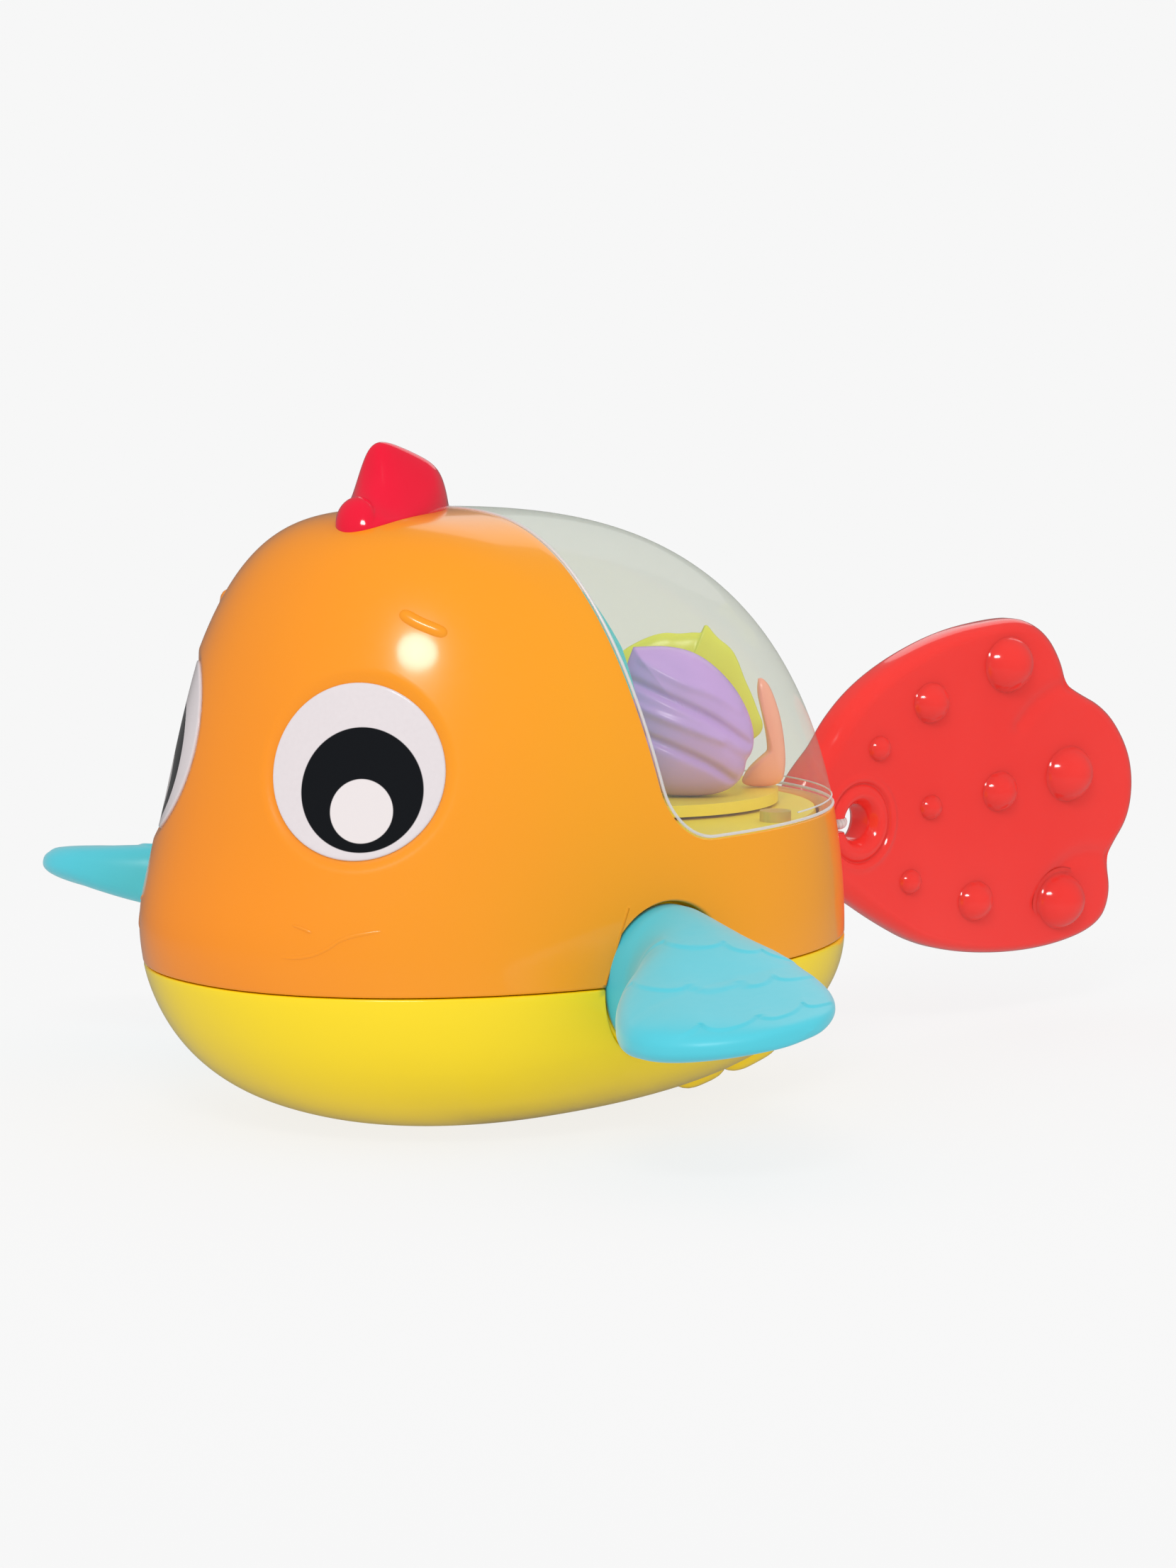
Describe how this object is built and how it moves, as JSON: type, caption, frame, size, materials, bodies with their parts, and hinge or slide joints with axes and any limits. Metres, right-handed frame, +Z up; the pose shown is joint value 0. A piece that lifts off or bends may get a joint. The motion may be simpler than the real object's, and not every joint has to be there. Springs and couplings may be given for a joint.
{
  "type": "pull-cord bath fish",
  "caption": "Plump bath fish with paddling side fins, a clear window over turning sea figures, and a tail fin that pulls out on a cord.",
  "frame": {"origin": "middle of the widest section of the body, on the flat of the belly", "axes": "+X towards the fish's nose, +Y towards its left side, +Z up"},
  "size_m": [0.199, 0.1712, 0.1018],
  "materials": {
    "yellow_shell": "glossy moulded plastic",
    "orange_shell": "glossy moulded plastic",
    "clear_window": "clear glossy plastic",
    "eye_print": "glossy print, white with a black pupil",
    "red_crest": "glossy moulded plastic",
    "teal_panel": "glossy moulded plastic",
    "yellow_inside": "glossy moulded plastic",
    "steel": "bright steel",
    "spring_steel": "blued spring steel",
    "white_plastic": "plain moulded plastic",
    "red_gear": "plain moulded plastic",
    "cord": "braided white cord",
    "teal_soft": "satin soft plastic",
    "purple_figure": "satin moulded plastic",
    "green_figure": "satin moulded plastic",
    "coral_figure": "satin moulded plastic",
    "red_tail": "glossy soft plastic, slightly translucent"
  },
  "bodies": {
    "casing": {"lower_hull": "yellow_shell", "hood": "orange_shell", "window": "clear_window", "left_eye": "eye_print", "right_eye": "eye_print", "crest": "red_crest", "backdrop": "teal_panel", "deck": "yellow_inside", "deck_screws": "steel", "body_screws": "steel", "drive_frame": "white_plastic", "frame_screws": "steel", "left_bush": "white_plastic", "right_bush": "white_plastic", "idler_pin": "steel", "spring_case": "white_plastic", "mainspring": "spring_steel", "cord_eyelet": "white_plastic", "inner_cord": "cord"},
    "paddles": {"paddle_axle": "steel", "paddle_gear": "white_plastic", "left_flipper": "teal_soft", "right_flipper": "teal_soft"},
    "idler": {"idler_gear": "red_gear"},
    "drum": {"drum_shaft": "steel", "drum_gear": "white_plastic", "cord_drum": "white_plastic", "cord_winding": "cord", "crown_pinion": "red_gear"},
    "carousel": {"crown_gear": "red_gear", "turntable": "yellow_inside", "turntable_spindle": "steel", "shell_figure": "purple_figure", "star_figure": "green_figure", "coral_figure": "coral_figure"},
    "cord_lead": {"pull_cord": "cord"},
    "tail": {"tail_fin": "red_tail", "cord_knot": "cord"}
  },
  "joints": [
    {"name": "paddle_spin", "type": "hinge", "parent": "casing", "child": "paddles", "pos_m": [0.0022, 0, 0.0242], "axis": [0, -1, 0], "range_deg": [0, 1980]},
    {"name": "idler_spin", "type": "hinge", "parent": "casing", "child": "idler", "pos_m": [-0.00967, 0, 0.02594], "axis": [0, -1, 0], "range_deg": [-2264, 0]},
    {"name": "drum_spin", "type": "hinge", "parent": "casing", "child": "drum", "pos_m": [-0.028, 0, 0.0245], "axis": [0, -1, 0], "range_deg": [0, 990]},
    {"name": "carousel_spin", "type": "hinge", "parent": "casing", "child": "carousel", "pos_m": [-0.028, 0, 0.043], "axis": [0, 0, 1], "range_deg": [0, 817]},
    {"name": "tail_yaw", "type": "hinge", "parent": "casing", "child": "cord_lead", "pos_m": [-0.0593, 0, 0.0366], "axis": [0, 0, 1], "range_deg": [-20, 20]},
    {"name": "tail_pull", "type": "slide", "parent": "cord_lead", "child": "tail", "axis": [-1, 0, 0], "range_m": [0, 0.147]}
  ],
  "couplings": [
    {"joint": "idler_spin", "follows": "paddle_spin", "ratio": -1.1429},
    {"joint": "drum_spin", "follows": "paddle_spin", "ratio": 0.5},
    {"joint": "carousel_spin", "follows": "paddle_spin", "ratio": 0.41176},
    {"joint": "tail_pull", "follows": "paddle_spin", "m_per_rad": 0.00425}
  ]
}
